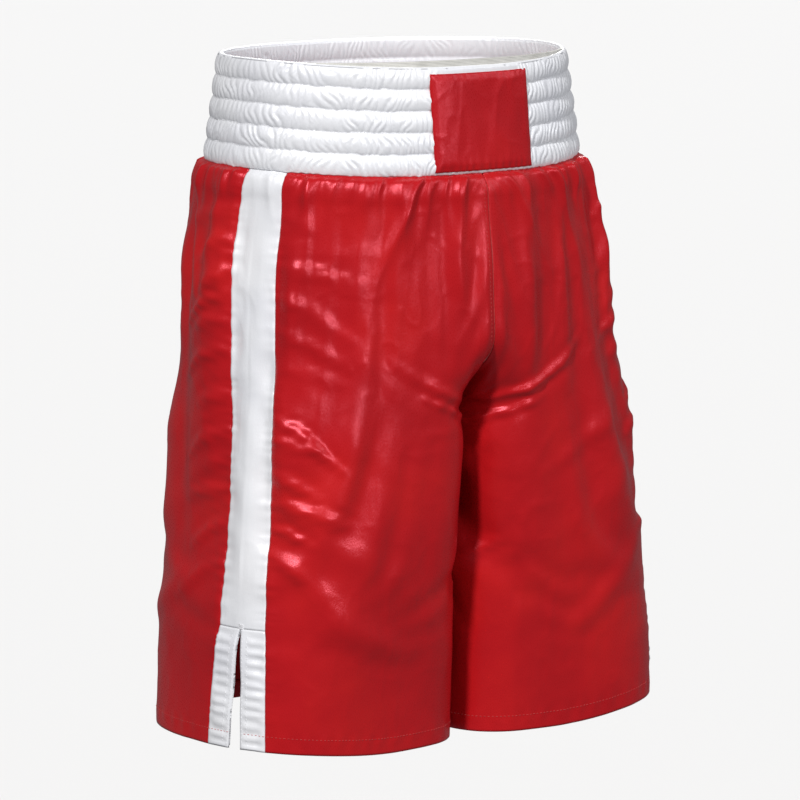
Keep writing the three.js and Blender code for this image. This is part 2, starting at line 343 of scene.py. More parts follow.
def stripe_pulls(away, z, seed, tallest):
    """Short folds that fan out and down from one edge of the stripe, where its seam draws the cloth."""
    rng = np.random.default_rng(seed)
    out = np.zeros(away.shape)
    edge = 1000 * STRIPE_HALF + 1
    level = 1000 * BAND_FOOT - 34
    while level > 1000 * VENT_TOP + 60:
        length = rng.uniform(28, 80)
        fall = length * rng.uniform(0.15, 0.75)
        path = [(edge, level), (edge + 0.5 * length, level - 0.3 * fall), (edge + length, level - fall)]
        height = tallest * rng.uniform(0.45, 1.0)
        out += fold(away, z, path, rng.uniform(4.5, 9), height, rng.uniform(0.1, 0.6))
        level -= rng.uniform(20, 46)
    return out


def crotch_smiles(from_seam, z, seed):
    """Curved folds that hang from the crotch seam like swags, one below another."""
    rng = np.random.default_rng(seed)
    out = np.zeros(z.shape)
    level = 1000 * CROTCH + 62
    for _ in range(5):
        length = rng.uniform(58, 120)
        sag = rng.uniform(14, 26)
        path = [(3, level), (0.22 * length, level - sag), (0.55 * length, level - 0.5 * sag),
                (length, level + rng.uniform(12, 34))]
        out += fold(from_seam, z, path, rng.uniform(6, 10), rng.uniform(3.2, 5.6), rng.uniform(0.1, 0.45))
        level -= rng.uniform(36, 52)
    return out


def drag_folds(from_seam, from_stripe, z, seed):
    """Long soft folds: some hang from the waistband, some run from the hip down to the inseam."""
    rng = np.random.default_rng(seed)
    out = np.zeros(z.shape)
    foot = 1000 * BAND_FOOT
    for place in (48, 92, 140, 186):
        start = place + rng.uniform(-12, 12)
        lean = rng.uniform(-34, 34)
        length = rng.uniform(90, 210)
        path = [(start, foot - 4), (start + 0.3 * lean, foot - 0.5 * length), (start + lean, foot - length)]
        out += fold(from_stripe, z, path, rng.uniform(9, 17), rng.uniform(2.6, 4.8), rng.uniform(-0.3, 0.5))
    for level in (-190, -265, -345, -420):
        top = level + rng.uniform(-18, 18)
        path = [(rng.uniform(30, 60), top), (rng.uniform(90, 120), top - 62),
                (rng.uniform(150, 190), top - 96)]
        out += fold(from_stripe, z, path, rng.uniform(11, 19), rng.uniform(1.8, 3.6), rng.uniform(-0.3, 0.3))
    crease = [(INSEAM_CREASE, 1000 * CROTCH + 30), (INSEAM_CREASE - 4, 1000 * CROTCH - 120),
              (INSEAM_CREASE + 5, 1000 * HEM)]
    return out + fold(from_seam, z, crease, 6, 3.4, 0.75)


def folds(word, arc, z):
    """All the larger folds of one half, placed from the stripe, the waistband and the crotch."""
    seed = FOLD_SEEDS[word]
    from_seam, from_back_seam = arc - arc[:, :1], arc[:, -1:] - arc
    front, back = arc < 0, arc > 0
    out = crotch_smiles(from_seam, z, seed) * front
    out += 0.7 * crotch_smiles(from_back_seam, z, seed + 1) * back
    out += drag_folds(from_seam, -arc, z, seed + 2) * front
    out += drag_folds(from_back_seam, arc, z, seed + 3) * back
    out += stripe_pulls(-arc, z, seed + 4, 3.8) * front
    return out + stripe_pulls(arc, z, seed + 5, 4.4) * back


def stripe_arc(p, times):
    """Distance round the cloth from the middle of the stripe, back positive, for each point."""
    arc = arc_lengths(p)
    middle = (FRONT_STEPS + STRIPE_STEPS) * times
    return arc - 0.5 * (arc[:, middle:middle + 1] + arc[:, middle + 1:middle + 2])


def puckers(distance, z, seed, reach_mm, pitch_mm, height):
    """Small ripples that run out from a row of stitches."""
    phase = z / (pitch_mm * MM) + 0.9 * lattice_noise(z / (13 * MM), 0.5, seed)
    strength = 0.5 + 0.5 * lattice_noise(z / (21 * MM), 3.5, seed + 1)
    wave = np.cos(2 * math.pi * phase) * strength
    return height * MM * wave * np.exp(-(distance / (reach_mm * MM)) ** 2)


def broad_relief(word, arc, z):
    """How far the larger folds and dents stand out from the hanging outline."""
    dents = crumple(arc, z, BROAD_SEEDS[word] + 1, 46, 1.7)
    return folds(word, arc, z) + dents * (1 - 0.6 * fallen(z)) * (0.3 + 0.7 * beyond_stripe(arc))


def fine_relief(word, arc, z):
    """Gathers under the waistband, and small puckers along the seams, the hem and the vent tabs."""
    seed = FINE_SEEDS[word]
    flat = beyond_stripe(arc)
    out = gathers(arc + 0.5, z, seed, 1.1) * (0.25 + 0.75 * flat)
    out += crumple(arc, z, seed + 5, 17, 0.6) * (1 - 0.5 * fallen(z))
    out += 1.5 * MM * lattice_noise(arc / 0.021 + 9, z / 0.024, seed + 28) * (1 - flat)
    out += puckers(arc + STRIPE_HALF, z, seed + 20, 9, 12, 0.55)
    out += puckers(arc - STRIPE_HALF, z, seed + 22, 9, 12, 0.55)
    hem_pucker = np.cos(2 * math.pi * (arc / (17 * MM) + lattice_noise(arc / 0.03, 0.5, seed + 24)))
    out += 0.35 * MM * hem_pucker * np.exp(-((z - HEM_STITCH) / (6 * MM)) ** 2) * flat
    below = smooth((VENT_TOP - z) / (12 * MM)) * (1 - flat)
    ripple = np.cos(2 * math.pi * (z / (9.5 * MM) + 0.35 * lattice_noise(z / 0.02, 1.5, seed + 26)))
    off_facing = smooth((np.abs(arc) - FACING) / (3 * MM))
    return out + 0.65 * MM * ripple * below * off_facing


def seam_share(shares, z, out):
    """Flattens relief near the front and back seams, sinks them in, and fades out under the waistband."""
    seam = from_seams(shares)
    out = out * (0.25 + 0.75 * smooth(seam / 0.02))
    out -= 2.5 * MM * np.exp(-(seam / (9 * MM)) ** 2) * smooth((CLEFT_TOP + 0.09 - z) / 0.1)
    return out * smooth((BAND_FOOT + 1.5 * MM - z) / (4 * MM))


def surface(times):
    """The hanging outline as a grid: points, normals, arc from the stripe, height, and t."""
    heights = grid_heights(times)
    shares = grid_shares(heights, times)
    z = np.broadcast_to(heights[:, None], shares.shape)
    base = hang(outline(shares, z), shares)
    normal = grid_normals(base)
    split = (FRONT_STEPS + STRIPE_STEPS) * times
    for column, neighbour in ((split, split - 1), (split + 1, split + 2)):
        normal[:, column] = normal[:, neighbour]
    return base, normal, stripe_arc(base, times), z, shares


def finer(grid, times, axis):
    """A smooth curve through the points along one axis, with more points on it."""
    grid = np.moveaxis(grid, axis, 0)
    padded = np.concatenate([2 * grid[:1] - grid[1:2], grid, 2 * grid[-1:] - grid[-2:-1]])
    a, b, c, d = padded[:-3], padded[1:-2], padded[2:-1], padded[3:]
    between = []
    for u in np.arange(times) / times:
        curve = 2 * b + (c - a) * u + (2 * a - 5 * b + 4 * c - d) * u * u + (3 * b - a - 3 * c + d) * u ** 3
        between.append(0.5 * curve)
    fine = np.stack(between, 1).reshape(-1, *grid.shape[1:])
    return np.moveaxis(np.concatenate([fine, grid[-1:]]), 0, axis)


SIM_FRAMES = 26
WAIST_FULLNESS = 1.22
SEAT_FULLNESS = 1.035
DOWN_FULLNESS = 1.006
SOFTENING = 2
MOST_MOVE = 16 * MM
SATIN_PHYSICS = {"quality": 5, "mass": 0.10, "tension_stiffness": 12, "compression_stiffness": 12,
                 "shear_stiffness": 5, "bending_stiffness": 0.25, "air_damping": 4, "pin_stiffness": 1.0}


def softened(move):
    """Evens out wrinkles as small as the grid itself."""
    for turn in range(2 * SOFTENING):
        axis = turn % 2
        before, after = np.take(move, [0], axis), np.take(move, [-1], axis)
        wide = np.concatenate([before, move, after], axis)
        count = move.shape[axis]
        parts = [np.take(wide, np.arange(count) + k, axis) for k in range(3)]
        move = 0.25 * parts[0] + 0.5 * parts[1] + 0.25 * parts[2]
    return move


def drape(word, base, target, arc, z, shares):
    """Simulates one half of the cloth, cut wider than the waist, and held softly near its shape."""
    rows, columns = z.shape
    split = FRONT_STEPS + STRIPE_STEPS
    index = np.arange(rows * columns).reshape(rows, columns)
    index[:ROWS_TO_VENT + 1, split + 1] = index[:ROWS_TO_VENT + 1, split]
    quads = np.stack([index[:-1, :-1], index[1:, :-1], index[1:, 1:], index[:-1, 1:]], -1)
    quads = np.delete(quads, split, axis=1).reshape(-1, 4)
    used, faces = np.unique(quads, return_inverse=True)
    faces = faces.reshape(quads.shape)
    drop = BAND_FOOT - z
    fullness = 1 + (WAIST_FULLNESS - 1) * np.exp(-(np.maximum(drop, 0) / 0.042))
    fullness = fullness + (SEAT_FULLNESS - 1) * smooth(drop / 0.05) * (1 - smooth((drop - 0.2) / 0.25))
    off_stripe = smooth((np.abs(arc) - STRIPE_HALF) / (10 * MM))
    step = np.linalg.norm(np.diff(base, axis=1), axis=-1)
    scale = 1 + (fullness - 1) * off_stripe
    step = step * 0.5 * (scale[:, 1:] + scale[:, :-1])
    step[:, split] = 0
    flat_x = np.concatenate([np.zeros((rows, 1)), np.cumsum(step, axis=1)], axis=1)
    flat_x -= flat_x[:, split:split + 1]
    down = np.linalg.norm(np.diff(base, axis=0), axis=-1).mean(axis=1)
    flat_z = -np.concatenate([[0], np.cumsum(down)])[:, None] * DOWN_FULLNESS + 0 * flat_x
    cut = np.stack([flat_x, 0 * flat_x, flat_z], -1).reshape(-1, 3)[used]
    seam = from_seams(shares)
    hold = 0.10 + 0.9 * np.exp(-(np.maximum(drop, 0) / 0.006)) + 0.75 * np.exp(-(seam / 0.008) ** 2)
    hold += 0.15 * smooth((drop - 0.3) / 0.15)
    hold = np.clip(hold, 0, 1)
    hold[0] = 1
    mesh = bpy.data.meshes.new(f"{word}_draping")
    mesh.from_pydata(target.reshape(-1, 3)[used].tolist(), [], faces.tolist())
    cloth = bpy.data.objects.new(f"{word}_draping", mesh)
    bpy.context.scene.collection.objects.link(cloth)
    cloth.shape_key_add(name="Hung")
    key = cloth.shape_key_add(name="Cut")
    key.data.foreach_set("co", cut.ravel())
    group = cloth.vertex_groups.new(name="hold")
    weight = np.round(hold.reshape(-1)[used], 2)
    for value in np.unique(weight):
        group.add(np.flatnonzero(weight == value).tolist(), float(value), "REPLACE")
    modifier = cloth.modifiers.new("Cloth", "CLOTH")
    for name, value in SATIN_PHYSICS.items():
        setattr(modifier.settings, name, value)
    modifier.settings.vertex_group_mass = group.name
    modifier.settings.rest_shape_key = key
    modifier.collision_settings.use_collision = False
    modifier.point_cache.frame_end = SIM_FRAMES
    for moment in range(1, SIM_FRAMES + 1):
        bpy.context.scene.frame_set(moment)
    hung = cloth.evaluated_get(bpy.context.evaluated_depsgraph_get()).data
    found = np.empty(len(hung.vertices) * 3)
    hung.vertices.foreach_get("co", found)
    result = target.reshape(-1, 3).copy()
    result[used] = found.reshape(-1, 3)
    result = result.reshape(target.shape)
    result[:ROWS_TO_VENT + 1, split + 1] = result[:ROWS_TO_VENT + 1, split]
    bpy.context.scene.frame_set(1)
    bpy.data.objects.remove(cloth)
    move = result - target
    move = np.concatenate([softened(move[:, :split + 1]), softened(move[:, split + 1:])], axis=1)
    length = np.linalg.norm(move, axis=-1, keepdims=True)
    return target + move * np.minimum(1, MOST_MOVE / np.maximum(length, 1e-9))


def half_cloth(word):
    """The outer surface of one half of the cloth as a fine grid: points, normals, and arc."""
    base, normal, arc, z, shares = surface(1)
    out = seam_share(shares, z, broad_relief(word, arc, z))
    target = base + normal * out[..., None]
    target = drape(word, base, target, arc, z, shares)
    offset = target - base
    split = FRONT_STEPS + STRIPE_STEPS
    blocks = [offset[:, :split + 1], offset[:, split + 1:]]
    offset = np.concatenate([finer(finer(block, FINE, 0), FINE, 1) for block in blocks], axis=1)
    base, normal, arc, z, shares = surface(FINE)
    point = base + offset
    fine = seam_share(shares, z, fine_relief(word, arc, z))
    fine -= 1.6 * MM * (1 - smooth((BAND_FOOT - z) / (5 * MM)))
    point = point + normal * fine[..., None]
    point[..., 0] = np.minimum(point[..., 0], -0.5 * MM)
    split = split * FINE
    normal = np.concatenate([grid_normals(point[:, :split + 1]), grid_normals(point[:, split + 1:])], axis=1)
    point[..., 0] *= -SIDES[word]
    normal[..., 0] *= -SIDES[word]
    return point, normal, arc, z


def quad_faces(rows, columns, start, loop):
    """Faces of a grid of points; a loop joins its last column to its first."""
    wide = columns if loop else columns - 1
    r, c = np.meshgrid(np.arange(rows - 1), np.arange(wide), indexing="ij")
    a, b = start + r * columns + c, start + r * columns + (c + 1) % columns
    return np.stack([a, a + columns, b + columns, b], -1).reshape(-1, 4)


def rim_faces(rows, columns, loop):
    """Faces that join the edges of two skins of the same grid."""
    top = np.arange(columns)
    bottom = top + (rows - 1) * columns
    skin = rows * columns
    if loop:
        runs = [np.append(top, top[0]), np.append(bottom, bottom[0])[::-1]]
    else:
        left = np.arange(rows) * columns
        right = left + columns - 1
        runs = [np.concatenate([top, right[1:], bottom[::-1][1:], left[::-1][1:]])]
    quads = [np.stack([run[:-1], run[1:], run[1:] + skin, run[:-1] + skin], -1) for run in runs]
    return np.concatenate(quads)


def shell(name, outer, inner, uv, material, loop=False):
    """A thin closed piece of cloth from its two skins, with its faces pointing out."""
    rows, columns = outer.shape[:2]
    skin = rows * columns
    points = np.concatenate([outer.reshape(-1, 3), inner.reshape(-1, 3)])
    faces = np.concatenate([
        quad_faces(rows, columns, 0, loop),
        quad_faces(rows, columns, skin, loop)[:, ::-1],
        rim_faces(rows, columns, loop),
    ])
    middle = faces[(rows // 2) * (columns if loop else columns - 1) + columns // 2]
    corner = points[middle]
    facing = np.cross(corner[1] - corner[0], corner[3] - corner[0]) @ (corner[0] - points[middle[0] + skin])
    if facing < 0:
        faces = faces[:, ::-1]
    spread = np.concatenate([uv.reshape(-1, 2)] * 2)
    return add_mesh(name, points, faces.tolist(), material, spread)


def add_mesh(name, points, faces, material, uv=None):
    """A piece from its points and a list of faces, and where each point lies on the flat cloth."""
    mesh = bpy.data.meshes.new(name)
    mesh.from_pydata(np.asarray(points).tolist(), [], faces)
    mesh.polygons.foreach_set("use_smooth", np.ones(len(mesh.polygons), bool))
    if uv is not None:
        corners = np.empty(len(mesh.loops), int)
        mesh.loops.foreach_get("vertex_index", corners)
        layer = mesh.uv_layers.new(name="cloth")
        layer.data.foreach_set("uv", np.asarray(uv)[corners].ravel())
    mesh.materials.append(material)
    mesh.update()
    piece = bpy.data.objects.new(name, mesh)
    bpy.context.scene.collection.objects.link(piece)
    return piece


def tucked(point, normal, left=True, right=True, bottom=False):
    """Turns the chosen edges of a grid in towards the body, as a seam or a folded hem does."""
    point, normal = point.copy(), normal.copy()
    if left:
        point[:, 0] -= normal[:, 0] * EDGE_TUCK
        point = np.concatenate([point[:, :1] - normal[:, :1] * SEAM_TUCK, point], 1)
        normal = np.concatenate([normal[:, :1], normal], 1)
    if right:
        point[:, -1] -= normal[:, -1] * EDGE_TUCK
        point = np.concatenate([point, point[:, -1:] - normal[:, -1:] * SEAM_TUCK], 1)
        normal = np.concatenate([normal, normal[:, -1:]], 1)
    if bottom:
        edge = point[-1:] - normal[-1:] * 0.9 * MM + np.array([0, 0, 0.1 * MM])
        point[-1:] -= normal[-1:] * 0.15 * MM
        point = np.concatenate([point, edge], 0)
        normal = np.concatenate([normal, normal[-1:]], 0)
    return point, normal


def cloth_piece(name, part, material, left=True, right=True, bottom=False, depth=0.0, thickness=CLOTH):
    """A piece of the half cloth between chosen rows and columns, as a thin shell."""
    point, normal, arc, z = part
    uv = np.stack([arc, z], -1)
    point = point - normal * depth
    shaped, shaped_normal = tucked(point, normal, left, right, bottom)
    pad = ((0, int(bottom)), (int(left), int(right)), (0, 0))
    uv = np.pad(uv, pad, mode="edge")
    return shell(name, shaped, shaped - shaped_normal * thickness, uv, material)


def crop(part, rows, columns):
    return [grid[rows, columns] for grid in part]


# Materials

def new_material(name):
    material = bpy.data.materials.new(name)
    material.use_nodes = True
    nodes = material.node_tree.nodes
    links = material.node_tree.links
    return material, nodes, links, nodes["Principled BSDF"]


def set_inputs(node, values):
    for name, value in values.items():
        node.inputs[name].default_value = value


def noise(nodes, links, coordinate, scale, detail=3.0, roughness=0.55):
    node = nodes.new("ShaderNodeTexNoise")
    set_inputs(node, {"Scale": scale, "Detail": detail, "Roughness": roughness})
    links.new(coordinate, node.inputs["Vector"])
    return node.outputs["Fac"]


def ribs(nodes, links, coordinate, bands, scale, distortion=0.0):
    node = nodes.new("ShaderNodeTexWave")
    node.bands_direction = bands
    set_inputs(node, {"Scale": scale, "Distortion": distortion})
    links.new(coordinate, node.inputs["Vector"])
    return node.outputs["Fac"]


def ramp(nodes, links, factor, stops):
    """A colour ramp from (position, colour) stops."""
    node = nodes.new("ShaderNodeValToRGB")
    for position, colour in stops[1:-1]:
        node.color_ramp.elements.new(position).color = (*colour, 1)
    first, last = node.color_ramp.elements[0], node.color_ramp.elements[-1]
    first.position, first.color = stops[0][0], (*stops[0][1], 1)
    last.position, last.color = stops[-1][0], (*stops[-1][1], 1)
    links.new(factor, node.inputs["Fac"])
    return node.outputs["Color"]


def math_node(nodes, links, operation, a, b):
    node = nodes.new("ShaderNodeMath")
    node.operation = operation
    for socket, value in zip(node.inputs, (a, b)):
        if isinstance(value, (int, float)):
            socket.default_value = value
        else:
            links.new(value, socket)
    return node.outputs[0]


def bump(nodes, links, height, distance, strength, below=None):
    node = nodes.new("ShaderNodeBump")
    set_inputs(node, {"Distance": distance, "Strength": strength})
    links.new(height, node.inputs["Height"])
    if below is not None:
        links.new(below, node.inputs["Normal"])
    return node.outputs["Normal"]


def satin(name, colours, roughness, sheen, sheen_tint, gloss_tint):
    """Satin: long floats of warp yarn with a fine slanting rib, glossy along the yarns."""
    material, nodes, links, shader = new_material(name)
    place = nodes.new("ShaderNodeTexCoord")
    solid, flat = place.outputs["Object"], place.outputs["UV"]
    cloudy = noise(nodes, links, solid, 9.0, 4.0)
    links.new(ramp(nodes, links, cloudy, colours), shader.inputs["Base Color"])
    yarn = nodes.new("ShaderNodeMapping")
    set_inputs(yarn, {"Scale": (3.2, 1.0, 1.0)})
    links.new(flat, yarn.inputs["Vector"])
    glint = noise(nodes, links, yarn.outputs["Vector"], 420.0, 2.0, 0.6)
    slub = noise(nodes, links, yarn.outputs["Vector"], 60.0, 3.0)
    rib = ribs(nodes, links, flat, "DIAGONAL", 900.0, 0.6)
    fine = bump(nodes, links, rib, 0.00005, 0.35)
    grain = bump(nodes, links, glint, 0.00022, 0.5, fine)
    soft = bump(nodes, links, slub, 0.0005, 0.28, grain)
    links.new(soft, shader.inputs["Normal"])
    spread = math_node(nodes, links, "MULTIPLY", glint, 0.22)
    links.new(math_node(nodes, links, "ADD", spread, roughness - 0.11), shader.inputs["Roughness"])
    set_inputs(shader, {"Specular IOR Level": 1.0, "Specular Tint": (*gloss_tint, 1), "Anisotropic": 0.3,
                        "Sheen Weight": sheen, "Sheen Roughness": 0.35, "Sheen Tint": (*sheen_tint, 1)})
    return material


def thread(name, colours):
    """Twisted sewing thread."""
    material, nodes, links, shader = new_material(name)
    place = nodes.new("ShaderNodeTexCoord").outputs["Object"]
    links.new(ramp(nodes, links, noise(nodes, links, place, 500.0), colours), shader.inputs["Base Color"])
    twist = ribs(nodes, links, place, "DIAGONAL", 900.0)
    links.new(bump(nodes, links, twist, 0.0001, 0.6), shader.inputs["Normal"])
    set_inputs(shader, {"Roughness": 0.55, "Sheen Weight": 0.2})
    return material


def woven_elastic(name):
    """Ribbed cotton elastic: raised ribs round the waist on a mottled tone."""
    material, nodes, links, shader = new_material(name)
    place = nodes.new("ShaderNodeTexCoord").outputs["Object"]
    tone = ramp(nodes, links, noise(nodes, links, place, 60.0),
                [(0.3, (0.62, 0.61, 0.57)), (0.7, (0.76, 0.75, 0.71))])
    links.new(tone, shader.inputs["Base Color"])
    raised = ribs(nodes, links, place, "Z", 260.0)
    links.new(bump(nodes, links, raised, 0.0004, 0.8), shader.inputs["Normal"])
    set_inputs(shader, {"Roughness": 0.85})
    return material


RED_SATIN = satin("red_satin", [(0.25, (0.39, 0.006, 0.009)), (0.5, (0.47, 0.008, 0.011)),
                                (0.75, (0.55, 0.012, 0.012))],
                  0.29, 0.0, (1.0, 0.35, 0.42), (1.0, 0.24, 0.31))
WHITE_SATIN = satin("white_satin", [(0.25, (0.80, 0.81, 0.87)), (0.5, (0.84, 0.85, 0.89)),
                                    (0.75, (0.88, 0.88, 0.91))],
                    0.33, 0.05, (0.95, 0.95, 1.0), (1.0, 1.0, 1.0))
RED_THREAD = thread("red_thread", [(0.3, (0.42, 0.02, 0.02)), (0.7, (0.62, 0.05, 0.05))])
WHITE_THREAD = thread("white_thread", [(0.3, (0.78, 0.78, 0.82)), (0.7, (0.90, 0.90, 0.92))])
ELASTIC = woven_elastic("elastic")


# Waistband

ROWS = 5
ROW_PITCH = BAND_HEIGHT / ROWS
BAND_COLUMNS = 960
BAND_DEPTH = 5.9 * MM
BAND_CLOTH = 0.35 * MM
PATCH_HALF = 55 * MM
PATCH_SHIFT = -4 * MM
PATCH_TOP = -5.6 * MM
PATCH_FOOT = BAND_FOOT + 2.6 * MM
PATCH_CLOTH = 0.6 * MM
PATCH_TURN = 0.9
PATCH_STATIONS = 181
STITCHES_FROM = 0.46


def band_point(angle, z, out):
    """A place on the waistband's outline, moved straight out from it."""
    at = lambda a: torso_point(a, np.minimum(z, 0))
    tangent = at(angle + 0.002) - at(angle - 0.002)
    normal = np.stack([-tangent[..., 1], tangent[..., 0], 0 * z], -1)
    normal /= np.linalg.norm(normal, axis=-1, keepdims=True)
    p = at(angle)
    p[..., 2] = z
    p = p + normal * out[..., None]
    dip_front(p, z)
    return p


def ruching(s, down, seed):
    """Fine slanted gathers: puffs between sharp valleys, drawn together at each row of stitches."""
    row = np.floor(down)
    v = down - row
    slant = 2.6 * lattice_noise(s / 0.03, row + 0.5, seed)
    warp = lattice_noise(s / 0.012, down * 1.7, seed + 1)
    big = np.abs(np.cos(math.pi * (s / 0.0066 + slant * (v - 0.5) + 0.75 * warp)))
    small = np.abs(np.cos(math.pi * (s / 0.0034 + 0.9 * lattice_noise(s / 0.007, down * 3.3, seed + 2))))
    strength = 0.62 + 0.38 * lattice_noise(s / 0.021, down * 1.2, seed + 3)
    return (1.45 * (big - 0.64) + 0.5 * (small - 0.64)) * strength * MM


def row_puff(down):
    v = down - np.floor(down)
    return np.sin(math.pi * v) ** 0.6


def under_patch(s, z):
    """1 where the front patch lies on the band, 0 beyond it."""
    across = smooth((PATCH_HALF + 2 * MM - np.abs(s - PATCH_SHIFT)) / (4 * MM))
    return across * smooth(-z / (3 * MM)) * smooth((BAND_HEIGHT - 3 * MM + z) / (2 * MM))


def band_arc(angle):
    """Distance round the band from the middle of the front, the wearer's right positive."""
    girth = 2 * math.pi * 0.5 * (FOOT.sum() + WAIST.sum()) / 2
    turn = (angle + math.pi) % (2 * math.pi) - math.pi
    return turn / (2 * math.pi) * girth * 0.985


def waistband_outer():
    """The ruched satin outside of the band, rolled over the top edge and a little way down inside."""
    angle = np.linspace(0, 2 * math.pi, BAND_COLUMNS, endpoint=False)[None, :]
    down = np.linspace(0.06, ROWS, 106)[:, None]
    z = -down * ROW_PITCH
    s = band_arc(angle)
    wobble = 0.035 * lattice_noise(s / 0.008, down * 0 + np.round(down), 31)
    puff = row_puff(np.clip(down + wobble, 0.0, ROWS - 1e-4))
    out = 2.6 * MM * puff - 1.5 * MM + ruching(s, down, 32) * (0.45 + 0.55 * puff)
    hidden = under_patch(s, z)
    out = out * (1 - hidden) + 0.2 * MM * hidden
    edge = 0.5 * MM * lattice_noise(s / 0.006, 0.5, 36) * smooth((down - ROWS + 0.12) / 0.12)
    outside = band_point(angle, z + 0 * s + edge, out)
    roll = np.linspace(0, math.pi, 9)[:-1, None][::-1]
    radius = (BAND_DEPTH - 0.8 * MM) / 2
    ripple = ruching(s, 0 * down[:1] + 0.1, 32) * 0.45
    lift = -z[0, 0] * np.sin(roll)
    lip_out = -radius + radius * np.cos(roll) + ripple * np.cos(roll)
    lip = band_point(angle, z[0, 0] + lift + 0 * s[:1], lip_out - 0.5 * MM)
    inside_z = np.linspace(-4.5 * MM, z[0, 0], 4)[:-1, None]
    inside = band_point(angle, inside_z + 0 * s[:1], -2 * radius - ripple - 0.5 * MM + 0 * inside_z)
    skin = np.concatenate([inside, lip, outside])
    normal = loop_normals(skin)
    uv = np.stack([np.broadcast_to(s[:1], skin.shape[:2]), skin[..., 2]], -1)
    return shell("waistband_satin", skin, skin - normal * BAND_CLOTH, uv, WHITE_SATIN, loop=True)


def loop_normals(p):
    """Unit normals of a grid whose last column meets its first."""
    across = np.roll(p, -1, axis=1) - np.roll(p, 1, axis=1)
    n = np.cross(across, np.gradient(p, axis=0))
    return n / np.maximum(np.linalg.norm(n, axis=-1, keepdims=True), 1e-12)


def waistband_lining():
    """The inside of the band, ruched between the same rows of stitches."""
    angle = np.linspace(0, 2 * math.pi, BAND_COLUMNS, endpoint=False)[None, :]
    down = np.linspace(0.1, ROWS, 76)[:, None]
    z = -down * ROW_PITCH
    s = band_arc(angle)
    puff = row_puff(np.clip(down, 0.0, ROWS - 1e-4))
    inward = 1.6 * MM * puff + ruching(s + 0.3, down, 41) * (0.3 + 0.4 * puff)
    skin = band_point(angle, z + 0 * s, -BAND_DEPTH + 0.6 * MM - inward)
    normal = -loop_normals(skin)
    uv = np.stack([s + 0 * z, z + 0 * s], -1)
    return shell("waistband_lining_satin", skin, skin - normal * BAND_CLOTH, uv, WHITE_SATIN, loop=True)


def patch_frame(s, z, out):
    """A place in front of the band at a distance s round it from the middle."""
    turn = np.linspace(-PATCH_TURN, PATCH_TURN, PATCH_STATIONS)
    shape = (len(z), PATCH_STATIONS)
    arc = arc_lengths(band_point(turn[None, :], np.broadcast_to(z[:, :1], shape), np.zeros(shape)))
    middle = PATCH_STATIONS // 2
    arc = arc - arc[:, middle:middle + 1]
    angle = np.stack([np.interp(row, line, turn) for row, line in zip(s, arc)])
    return band_point(angle, z, out)


def front_patch():
    """The plain red satin patch, turned in at its edges and puckered along its foot."""
    s = np.linspace(-PATCH_HALF, PATCH_HALF, 89)[None, :]
    z = np.linspace(PATCH_TOP, PATCH_FOOT, 67)[:, None]
    s, z = np.broadcast_arrays(s, z)
    side = PATCH_HALF - np.abs(s)
    top, foot = PATCH_TOP - z, z - PATCH_FOOT
    edge = np.minimum(np.minimum(side, top), foot)
    out = 1.5 * MM + 1.0 * MM * smooth(edge / (7 * MM))
    out = out + crumple(s + 0.2, z, 51, 34, 1.1) * smooth(edge / (10 * MM))
    out = out + crumple(s + 0.2, z, 55, 13, 0.4)
    ripple = np.cos(2 * math.pi * (s / (8 * MM) + 0.5 * lattice_noise(s / 0.015, 0.5, 57)))
    out = out + 0.4 * MM * ripple * np.exp(-(foot / (7 * MM)) ** 2)
    out = out + 0.2 * MM * ripple * np.exp(-(top / (5 * MM)) ** 2)
    out = out - 0.5 * MM * (1 - smooth(edge / (1.2 * MM)))
    ragged = 0.35 * MM * lattice_noise(s / 0.006, z / 0.01, 58) * (1 - smooth(edge / (2 * MM)))
    skin = patch_frame(s + ragged + PATCH_SHIFT, z, out)
    normal = -grid_normals(skin)
    rows, columns = s.shape
    normal *= np.sign(-normal[rows // 2, columns // 2, 1])
    skin, normal = tucked(skin, normal)
    uv = np.pad(np.stack([s, z], -1), ((0, 0), (1, 1), (0, 0)), mode="edge")
    return shell("front_patch_satin", skin, skin - normal * PATCH_CLOTH, uv, RED_SATIN)


# Thread

# How far each station along a stitch stands out, in millimetres, and how thick it is there
STITCH_BOW = np.array([-0.35, 0.12, 0.22, 0.12, -0.35])
STITCH_THICKNESS = np.array([0.6, 1, 1, 1, 0.6])
THREAD_SIDES = 6


